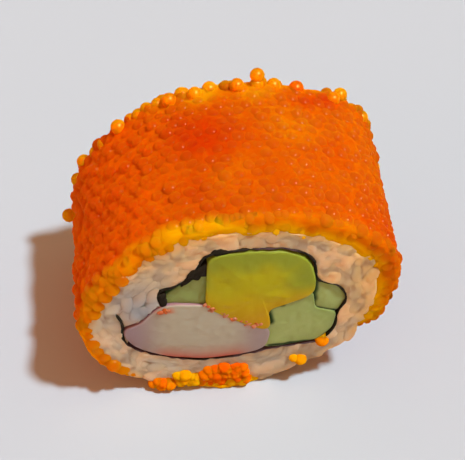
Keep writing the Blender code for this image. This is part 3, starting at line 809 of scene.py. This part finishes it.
def riceTones(points):
    # red channel: painted orange glow of light from the lit roe shining into the rice, as exp(-depth past 1.9
    # / 0.9) and strongest on the right; green channel: cool grey in the pocket; blue channel: painted shade,
    # darker at the bottom, the lower right and near the top
    flat = points[:, [0, 2]]
    angle = angleRound(flat, rollOutline)
    depth = distanceTo(flat, rollCoarse) - depthAt(angle, coat["pressedIn"]) + riceLip(angle)
    depth = depth + 0.5 * lumps(points, 1.8, 9)
    share = 0.6 + 0.4 * bell(angle, 60, 60) + 0.3 * bell(offAngle(angle, -125), 0, 30)
    # painted glow of light from the lit roe shining into the rice
    paintedRoeGlow = np.exp(-np.maximum(depth - 1.9, 0) / 0.9) * share
    paintedRoeGlow = paintedRoeGlow + 0.3 * bell(angle, 105, 45) + 0.8 * bell(angle, 12, 32) + 0.25 * bell(angle, 120, 25)
    pocket = spot(flat, rice["pocket"], (3.2, 3.5))
    shade = 0.35 * bell(offAngle(angle, -85), 0, 50) + 0.3 * bell(angle, -50, 22) + 0.28 * bell(angle, 75, 22)
    shade = shade + 0.15 * lumps(points, 2.0, 8)
    return np.clip(np.stack([paintedRoeGlow * (1 - pocket), pocket, shade], axis=1), 0, 1)


def bearing(flat):
    # the angle round the section's middle, in radians
    return np.arctan2(*(flat - section["middle"]).T[::-1])


def riceCore(material):
    # a closed ring between the roe and the filling: round the section by its bearing from the middle, and
    # from the inner front edge out, along the side, in at the back and forward again
    inner = evenly(np.vstack([fillingSpace, fillingSpace[:1]]), rice["around"], True)
    inner = inner + outwardNormals(inner) * 0.1
    innerAngle = np.maximum.accumulate(np.unwrap(bearing(inner)))
    innerAngle = innerAngle + np.linspace(0, 1e-3, rice["around"])
    depth = coat["thickness"] - 0.5 + depthAt(rollAngles, coat["pressedIn"])
    fine = rollOutline - rollNormals * depth[:, None]
    fine = fine[np.argsort(bearing(fine))]
    outer = [np.interp(innerAngle, bearing(fine), fine[:, k], period=2 * math.pi) for k in (0, 1)]
    outer = np.stack(outer, axis=1)
    end = -riceFront - rice["recess"]
    share = np.linspace(0, 1, 26)
    rows = [(s, -end) for s in share] + [(1.0, y) for y in np.linspace(-end, end, 24)[1:-1]]
    rows += [(s, end) for s in share[::-1]] + [(0.0, y) for y in np.linspace(end, -end, 12)[1:-1]]
    s, y = (a[:, None] for a in np.array(rows).T)
    full, none = rice["lipDepth"]
    lip = outwardNormals(outer) * riceLip(angleRound(outer, rollOutline))[:, None]
    outer = outer + lip * smoothStep(-end + none, -end + full, y)[..., None]
    points = spaced(inner * (1 - s[..., None]) + outer * s[..., None], y)
    heave = 0.16 * lumps(points, 1.6, 21) + 0.08 * lumps(points, 0.8, 22)
    onFace = np.where(np.abs(y) > end - 0.01, np.sign(y), 0)
    points[..., 1] += (heave - rice["rounding"] * smoothStep(0.86, 1.0, s)) * onFace
    points[..., 2] = np.maximum(points[..., 2], 0.1)
    piece = gridPiece("riceCore", points, riceTones, material, closedRows=True)
    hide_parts("rice")


def gapsOf(points, outer):
    # distances to the roe, to the fillings and to the nori
    return np.stack([distanceTo(points, path) for path in (outer, fillingSpace, noriPath[::4])], axis=1)


def spreadPlaces(rng, outer):
    # draws kept only where there is rice and clear of the ones before
    draws = np.stack([rng.uniform(-20, 20, 9000), rng.uniform(0, 31, 9000)], axis=1)
    inRice = insideOf(draws, outer) & ~insideOf(draws, fillingSpace)
    inRice &= (gapsOf(draws, outer) > rice["clear"]).all(axis=1)
    kept = np.empty((0, 2))
    for point in draws[inRice]:
        if len(kept) == rice["grains"]:
            break
        if len(kept) == 0 or np.hypot(*(kept - point).T).min() > rice["grainGap"]:
            kept = np.vstack([kept, point])
    return kept


def riceGrains(material):
    # grains lying in the cut faces, sliced flush by the knife: what stands past a face is pressed back to it
    rng = np.random.default_rng(seed + 3)
    depth = coat["thickness"] + depthAt(rollAngles, coat["pressedIn"])
    parts = []
    for end in (-1, 1):
        lip = riceLip(rollAngles) * (end < 0)
        outer = (rollOutline - rollNormals * (depth - lip)[:, None])[::6]
        spots = spreadPlaces(rng, outer)
        count = len(spots)
        nearest = np.linalg.norm(spots[:, None] - rollCoarse[None], axis=2).argmin(axis=1)
        n = rollNormals[::6][nearest]
        aside = rng.normal(0, 0.5, count)
        heading = np.arctan2(n[:, 0], -n[:, 1]) + aside
        tilt = rng.normal(0, 0.2, count)
        room = gapsOf(spots, outer).min(axis=1)
        width = np.clip(room + 0.35, 0.75, 1.0)
        sizes = rice["grainHalf"] * rng.uniform(0.88, 1.08, (count, 1)) * width[:, None]
        reach = (room + 0.5) / np.maximum(np.abs(np.sin(aside)), 0.1)
        sizes[:, 0] = np.minimum(sizes[:, 0], np.maximum(reach, 1.2))
        c, s, ct, st = np.cos(heading), np.sin(heading), np.cos(tilt), np.sin(tilt)
        along = np.stack([c * ct, st, s * ct], axis=1)
        across = np.stack([-s, np.zeros(count), c], axis=1)
        turns = np.stack([along, across, np.cross(along, across)], axis=2)
        pocket = spot(spots, rice["pocket"], (3.0, 3.2))
        y = end * (-riceFront - sizes[:, 2] * rng.uniform(0.5, 0.8, count) + 0.35 * pocket)
        parts.append((spaced(spots, y), turns, sizes, np.full(count, end), pocket))
    places, turns, sizes, side, pocket = (np.concatenate(part) for part in zip(*parts))

    def sliced(points):
        # past the knife's plane only a soft crown of the overshoot is left
        limit = (-riceFront - 0.04 + 0.45 * pocket)[:, None]
        over = np.maximum(points[..., 1] * side[:, None] - limit, 0)
        points[..., 1] -= side[:, None] * over * (1 - rice["crown"])
        inFilling = insideOf(points[..., [0, 2]].reshape(-1, 2), fillingSpace).reshape(points.shape[:2])
        points[..., 1] -= side[:, None] * inFilling * rice["dip"]
        return points

    facing = spaced(np.zeros((len(side), 2)), side)
    shape = grainShape(3)
    copiesPiece("riceGrains", shape, places, turns, sizes, riceTones, material, sliced, facing)
    return len(places)


# The nori.

nori = {
    # thickness at each point of the run: folds and blobs where it is thick, stretched where it is thin
    "thickness": [
        0.25, 0.35, 0.3, 0.5, 0.4, 0.35, 0.14, 0.14, 0.3, 0.25, 0.16, 0.35, 0.2, 0.3, 0.14, 0.08, 0.12, 0.2,
        0.12, 0.1, 0.2, 0.3, 0.3,
    ],
    # where the sheet is creased and torn, as outlines: beside the left cucumber, where the dark crease also
    # fills the hollow as painted shade, above the avocado's left corner, and at the start of the run
    "folds": {
        "noriCreaseAndShadedHollow": [
            (-3.8, 24.7), (-3.7, 22.3), (-4.6, 23.0), (-5.0, 21.8), (-5.8, 21.9), (-7.4, 20.6), (-5.9, 23.2),
        ],
        "noriTear": [
            (-3.5, 26.6), (-2.9, 27.3), (-1.4, 27.0), (0.6, 27.1), (0.5, 26.6), (-1.4, 26.4), (-2.9, 26.0),
        ],
        "noriLip": [(-10.2, 19.6), (-9.3, 19.6), (-9.0, 17.8), (-9.4, 16.6), (-9.9, 17.2)],
    },
    "foldReach": 0.12,  # of the rounding of a fold's corners
    "foldDepth": 3.0,
    "foldProud": 0.12,  # of a fold in front of the sheet
    "length": 95,  # of the run, as the unevenness takes it
    "unevenness": 0.85,  # share of the thickness
    "ragged": 0.15,  # of the cut edges
    "tailStep": 0.3,  # of the sheet's end out of the rice
    "tailFrom": (0.955, 0.97),  # shares of the run over which it steps out
    "taper": 0.006,  # share of the run over which each end is rounded off
}


def noriFold(name, corners, material):
    # a torn fold seen end on: its outline, filled from the middle out at the front, and carried back
    outline = roundedPolygon(corners, nori["foldReach"], 72)
    outline = outline + outwardNormals(outline) * (0.16 * lumps(outline, 0.5, 33))[:, None]
    front = alongRoll(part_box("nori"))[0] - nori["foldProud"]
    back = nori["foldDepth"]
    share = np.array([0.0, 0.5, 0.9, 1.0, 1.0, 1.0, 0.5, 0.0])[:, None]
    y = front + np.array([0.0, 0.0, 0.02, 0.12, back / 2, back, back, back])[:, None]
    middle = outline.mean(axis=0)
    points = spaced(middle + (outline - middle) * share[..., None], y)
    gridPiece(name, points, np.zeros(3), material)


def noriSheet(material):
    # a flat strip carried along the spiral path: its section is a slab with round ends and varying thickness
    tangents = np.gradient(noriPath, axis=0)
    tangents /= np.linalg.norm(tangents, axis=1)[:, None]
    normals = np.stack([-tangents[:, 1], tangents[:, 0]], axis=1)
    u = np.linspace(0, 1, noriSamples)
    run = np.array(section["nori"])
    stops = np.concatenate([[0], np.cumsum(np.linalg.norm(np.diff(run, axis=0), axis=1))])
    thickness = np.interp(u, stops / stops[-1], nori["thickness"])
    wave, tear = (np.stack([u * nori["length"], np.full(noriSamples, row)], axis=1) for row in (0.0, 5.0))
    half = thickness / 2 * (1 + nori["unevenness"] * lumps(wave, 1.3, 31))
    half = half * np.sin(np.clip(np.minimum(u, 1 - u) / nori["taper"], 0, 1) * math.pi / 2)
    ragged = nori["ragged"] * lumps(tear, 0.9, 32) + nori["tailStep"] * smoothStep(*nori["tailFrom"], u)
    turn = np.linspace(0, math.pi, 7)
    between = np.linspace(0, 1, 14)[1:-1]
    flank, still = np.ones(len(between)), np.zeros(len(between))
    side = np.concatenate([np.cos(turn), -flank, -np.cos(turn), flank])
    bulge = np.concatenate([-0.1 * np.sin(turn), still, 0.1 * np.sin(turn), still])
    back = np.concatenate([np.zeros(len(turn)), between, np.ones(len(turn)), 1 - between])
    low, high = alongRoll(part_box("nori"))
    y = low + (high - low) * back
    edge = np.sign(y) * np.abs(1 - 2 * back) ** 6
    flat = noriPath[:, None] + normals[:, None] * (half[:, None] * side[None])[..., None]
    points = spaced(flat, y + bulge + ragged[:, None] * edge)
    tones = np.zeros((points.size // 3, 3))
    tones[:, 0] = np.repeat(0.8 * smoothStep(0.2, 0.1, thickness), points.shape[1])
    piece = gridPiece("noriSheet", points, tones, material)
    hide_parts("nori")


# The fillings. Neighbours share the corners along their joint.

aboveCrab = (-4.0, 16.6)
underAvocado = [(-1.4, 14.6), (1.0, 12.9), (3.4, 11.5)]
leftOfCucumber = [(3.9, 12.4), (3.4, 15.5)]
underCorner = [(6.2, 16.6), (9.2, 17.9)]
cucumberJoint = [(9.6, 14.7), (12.4, 13.7)]
avocadoTop = [(9.5, 20.2), (8.7, 23.9), (6.4, 25.8), (2.5, 26.3), (-1.5, 26.2), (-3.7, 25.4)]

# "reach" rounds the corners, "grow" is how far the outline swells to meet its neighbours, "crown" how far the
# middle of a cut face bulges, and "relief" how uneven it is
fillings = {
    "avocado": {
        "corners": [*avocadoTop, aboveCrab, *underAvocado, *leftOfCucumber, *underCorner],
        "middle": (2.6, 19.0), "reach": 1.4, "grow": 0.25, "crown": 0.35, "relief": 0.10,
    },
    "crab_stick": {
        "corners": [
            aboveCrab, (-9.3, 17.3), (-11.2, 15.5), (-12.5, 13.7), (-14.4, 13.2), (-14.5, 11.6), (-13.0, 9.4),
            (-9.4, 7.5), (-4.5, 6.5), (0.2, 6.9), (3.2, 7.7), (3.8, 10.4), *reversed(underAvocado),
        ],
        "middle": (-5.0, 11.3), "reach": 1.4, "grow": 0.35, "crown": 0.3, "relief": 0.08,
    },
    "cucumber_left": {
        "corners": [
            (-3.9, 23.4), (-4.6, 23.5), (-5.4, 22.5), (-7.4, 20.5), (-9.4, 19.4), (-9.3, 17.4), aboveCrab,
        ],
        "middle": (-5.8, 18.8), "reach": 0.6, "grow": 0.25, "crown": 0.15, "relief": 0.08,
    },
    "cucumber_right_top": {
        "corners": [(9.6, 20.2), (9.2, 17.9), *cucumberJoint, (13.8, 16.4), (12.6, 18.8)],
        "middle": (11.2, 16.8), "reach": 0.8, "grow": 0.25, "crown": 0.2, "relief": 0.08,
    },
    "cucumber_right_bottom": {
        "corners": [
            *reversed(underCorner), *reversed(leftOfCucumber), (3.8, 10.4), (3.2, 7.8), (5.0, 7.8),
            (10.3, 8.7), (12.0, 10.8), *reversed(cucumberJoint),
        ],
        "middle": (7.6, 12.0), "reach": 0.8, "grow": 0.25, "crown": 0.2, "relief": 0.08,
    },
}
fillingEdge = 0.2  # radius of the edge of a cut face


def fillingPiece(name, pieceName, material, slotName, tonesAt, **looks):
    # round the outline by one parameter; the other goes from the middle of the front face to its edge,
    # along the side and in to the middle of the far face. Each cut face is crowned: crown x (1 - share^2)
    facts = fillings[name]
    outline = roundedPolygon(facts["corners"], facts["reach"], 200)
    outline = outline + outwardNormals(outline) * facts["grow"]
    middle = np.array(facts["middle"])
    edgeShare = fillingEdge / np.linalg.norm(outline - middle, axis=1).mean()
    low, high = alongRoll(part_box(name))
    inner = np.linspace(0, 1 - edgeShare, 30)
    turn = np.linspace(0, math.pi / 2, 6)[1:]
    share = np.concatenate([inner, 1 - edgeShare * (1 - np.sin(turn))])
    drop = np.concatenate([-facts["crown"] * (1 - inner**2), fillingEdge * (1 - np.cos(turn))])
    drop = drop + facts["crown"] * 0.5
    rows = [(s, low + d, -1) for s, d in zip(share, drop)]
    rows += [(1.0, y, 0) for y in np.linspace(low + 1, high - 1, 14)]
    rows += [(s, high - d, 1) for s, d in zip(share[::-1], drop[::-1])]
    s, y, face = (a[:, None] for a in np.array(rows).T)
    points = spaced(middle + (outline - middle) * s[..., None], y)
    uneven = lumps(points, 1.7, 41) + 0.5 * lumps(points, 0.7, 42)
    points[..., 1] += facts["relief"] * face * uneven * (1 - s**8)
    tones = tonesAt(points.reshape(-1, 3), outline, **looks)
    piece = gridPiece(pieceName, points, tones, material)
    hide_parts(name)


def avocadoTones(points, outline):
    # red channel: green under the skin; green channel: warm yellow middle; blue channel: orange at the tip
    flat = points[:, [0, 2]]
    x, z = flat.T
    wave = 0.25 * lumps(points, 2.5, 51)
    top = smoothStep(21.5, 25.6, z + wave * 4)
    right = smoothStep(4.8, 8.8, x + wave * 3) * smoothStep(17, 20, z)
    rim = np.exp(-distanceTo(flat, outline) / 0.6) * smoothStep(18, 22, z)
    tip = smoothStep(16.5, 12.5, z - 0.35 * x + wave * 2)
    low = smoothStep(21, 16, z + wave * 3)
    return np.stack([np.max([top, right, rim], axis=0) * 0.95, low * 0.8, tip * 0.6], axis=1)


def crabTones(points, outline):
    # red channel: mauve towards the ends and along the stick; green channel: pink skin along the bottom; blue
    # channel: orange dots along the upper right edge and where the skin is frayed
    flat = points[:, [0, 2]]
    x, z = flat.T
    inward = distanceTo(flat, outline)
    ends = 0.85 * (smoothStep(-8.5, -14.0, x) + 0.75 * smoothStep(-1.5, 3.0, x))
    bottom = np.exp(-inward / 1.4) * smoothStep(10.5, 8.5, z)
    bottom = bottom * smoothStep(-12, -9, x) * smoothStep(2.5, -1, x)
    upper = np.exp(-inward / 0.45) * smoothStep(12.0, 13.5, z + 0.7 * x) * smoothStep(-5.5, -3.5, x)
    upper = upper * smoothStep(-4.5, -3.5, x) * smoothStep(3.0, 1.0, x)
    frayed = np.maximum(upper, spot(flat, (-9.4, 16.4), (0.9, 0.8)))
    dots = 1.3 * frayed * smoothStep(-0.3, 0.5, lumps(points, 0.8, 52))
    end = alongRoll(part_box("crab_stick"))[1]
    skin = smoothStep(end - 0.1, end - 0.3, np.abs(points[:, 1]))
    return np.stack([np.maximum(ends, skin), np.maximum(bottom, 0.2 * skin), dots], axis=1)


# how much greener and darker the flesh is all over, as painted shade on the left piece, and where dark skin
# and painted shade along the joints show, as runs (start, end, width)
cucumberLooks = {
    "cucumber_left": {"green": 0.45, "skinAndShadeRuns": [((-9.3, 19.5), (-5.4, 22.6), 0.35)]},
    "cucumber_right_top": {
        "green": 0.0,
        "skinAndShadeRuns": [((9.5, 20.0), (9.4, 14.8), 0.55), ((9.8, 14.7), (12.8, 13.6), 0.45)],
    },
    "cucumber_right_bottom": {
        "green": 0.0,
        "skinAndShadeRuns": [
            ((3.4, 15.6), (3.8, 13.0), 0.7), ((3.5, 15.6), (5.4, 16.3), 0.5), ((4.0, 7.9), (10.6, 8.4), 0.3),
            ((10.6, 8.4), (12.4, 10.6), 0.35),
        ],
    },
}


def cucumberTones(points, outline, green, skinAndShadeRuns):
    # red channel: greener, darker flesh next to the edge, as exp(-distance / 0.9), partly the flesh's own
    # colour and partly painted shade, with painted shade all over the left piece; green channel: dark skin,
    # and painted shade along the joints
    flat = points[:, [0, 2]]
    wave = 0.15 * lumps(points, 0.9, 53)
    skin = np.zeros(len(flat))
    # dark skin, and painted shade along the joints with the avocado and between the two cucumber pieces
    for start, end, width in skinAndShadeRuns:
        away = distanceTo(flat, np.linspace(start, end, 40)) + wave
        skin = np.maximum(skin, smoothStep(width * 1.5, width * 0.5, away))
    green = green + 0.8 * np.exp(-distanceTo(flat, outline) / 0.9) + 0.15 * lumps(points, 2.0, 54)
    return np.stack([green, skin, np.zeros(len(flat))], axis=1)


crabShreds = {
    "line": [(-4.3, 16.9), (-1.3, 14.8), (1.0, 13.1), (2.4, 12.3)],
    "count": 30,
    "spread": 0.28,
    "tuft": (-9.4, 16.6),
    "tuftCount": 9,
    "tuftSpread": 0.35,
    "half": (0.3, 0.6),
    "flatness": (1, 0.45, 0.6),
    "sunk": (0.1, 0.35),
}


def crabFrill(material):
    # shreds of the dyed skin along the joint with the avocado: small flat lumps scattered along a line
    rng = np.random.default_rng(seed + 5)
    facts = crabShreds
    line = evenly(np.array(facts["line"]), facts["count"], False)
    line = line + rng.normal(0, facts["spread"], line.shape)
    tuft = rng.normal(facts["tuft"], facts["tuftSpread"], (facts["tuftCount"], 2))
    spots = np.vstack([line, tuft])
    count = len(spots)
    y = alongRoll(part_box("crab_stick"))[0] + rng.uniform(*facts["sunk"], count)
    sizes = rng.uniform(*facts["half"], (count, 3)) * facts["flatness"]
    tones = np.zeros((count, 3))
    tones[:, 2] = rng.uniform(0.6, 1.0, count)
    turns = randomTurns(rng, count)
    copiesPiece("crabFrill", ballShape(2), spaced(spots, y), turns, sizes, tones, material)


# The set.

camera = {
    "azimuth": -4.957,  # degrees from straight ahead of the cut face, towards the viewer's left
    "elevation": 47.0,
    "place": (-10.3, -122.7, 148.2),
    "lens": 104.68,
}

# each lamp: the direction towards it, its strength, its width in degrees and its colour; the glint is a bare
# bulb beside the key, which only shows as points of light
lamps = {
    "key": ((82.0, -28.0, 170.0), 3.8, 5.0, "ceebf8"),
    "fill": ((-80.0, -55.0, 18.0), 0.4, 50.0, "ff9848"),
    "glint": ((78.0, -36.0, 170.0), 28.0, 4.5, "ffdcae"),
}
ambient = ("c09470", 0.98)  # colour and strength of the light from all round

floorHalf = 2.0  # metres


def aimed(towards):
    # the turn that points a camera or a lamp along a direction
    return Vector(towards).to_track_quat("-Z", "Y").to_euler()


def addCamera():
    turn, lift = math.radians(camera["azimuth"]), math.radians(camera["elevation"])
    back = Vector((math.sin(turn) * math.cos(lift), -math.cos(turn) * math.cos(lift), math.sin(lift)))
    data = bpy.data.cameras.new("camera")
    data.lens = camera["lens"]
    data.clip_start = 0.005
    eye = bpy.data.objects.new("camera", data)
    eye.location = (Vector(camera["place"]) + Vector(home)) * mm
    eye.rotation_euler = aimed(-back)
    bpy.context.scene.collection.objects.link(eye)
    bpy.context.scene.camera = eye


def addLight():
    for name, (towards, strength, width, colour) in lamps.items():
        data = bpy.data.lights.new(name, "SUN")
        data.energy = strength
        data.angle = math.radians(width)
        data.color = linear(colour)[:3]
        lamp = bpy.data.objects.new(name, data)
        lamp.rotation_euler = aimed(-Vector(towards))
        lamp.visible_diffuse = name != "glint"
        bpy.context.scene.collection.objects.link(lamp)
    world = bpy.data.worlds.new("room")
    world.use_nodes = True
    sky = world.node_tree.nodes["Background"]
    sky.inputs["Color"].default_value = linear(ambient[0])
    sky.inputs["Strength"].default_value = ambient[1]
    bpy.context.scene.world = world
    world.cycles_visibility.glossy = False
    bpy.context.scene.view_settings.view_transform = "Standard"


def addFloor():
    mesh = bpy.data.meshes.new("floor")
    corners = [(x * floorHalf, y * floorHalf, 0) for x, y in ((-1, -1), (1, -1), (1, 1), (-1, 1))]
    mesh.from_pydata(corners, [], [(0, 1, 2, 3)])
    mesh.materials.append(substance("studioPaper", studioPaper))
    floor = bpy.data.objects.new("floor", mesh)
    bpy.context.scene.collection.objects.link(floor)


# Everything, piece by piece.

addCamera()
addLight()
addFloor()
print("set ready")

roe = {name: wetRoeSkin(name, *facts) for name, facts in roeSkins.items()}
beadCount = roeBeads(roe["roeSkin"], roe["wetRoeSkin"])
roeBed(roe["roeJelly"])
rimBeads(roe["roeSkin"])
looseBeads(roe["looseRoeSkin"], roe["spiltRoeSkin"])
print("roe:", beadCount, "beads")

riceCore(substance("riceBody", steamedRice))
grainCount = riceGrains(substance("riceGrain", steamedRice, lean=0.85))
print("rice:", grainCount, "grains")

laver = substance("toastedNori", toastedNori)
noriSheet(laver)
for foldName, corners in nori["folds"].items():
    noriFold(foldName, corners, laver)
fillingPiece("avocado", "avocadoStrip", substance("avocadoFlesh", avocadoFlesh), "avocado", avocadoTones)
surimi = substance("pressedSurimi", pressedSurimi)
fillingPiece("crab_stick", "crabStick", surimi, "crab_stick", crabTones)
crabFrill(surimi)
cucumber = substance("cucumberFlesh", cucumberFlesh)
for node, looks in cucumberLooks.items():
    pieceName = "cucumber" + "".join(word.capitalize() for word in node.split("_")[1:])
    fillingPiece(node, pieceName, cucumber, "cucumber", cucumberTones, **looks)
print("nori and fillings ready")
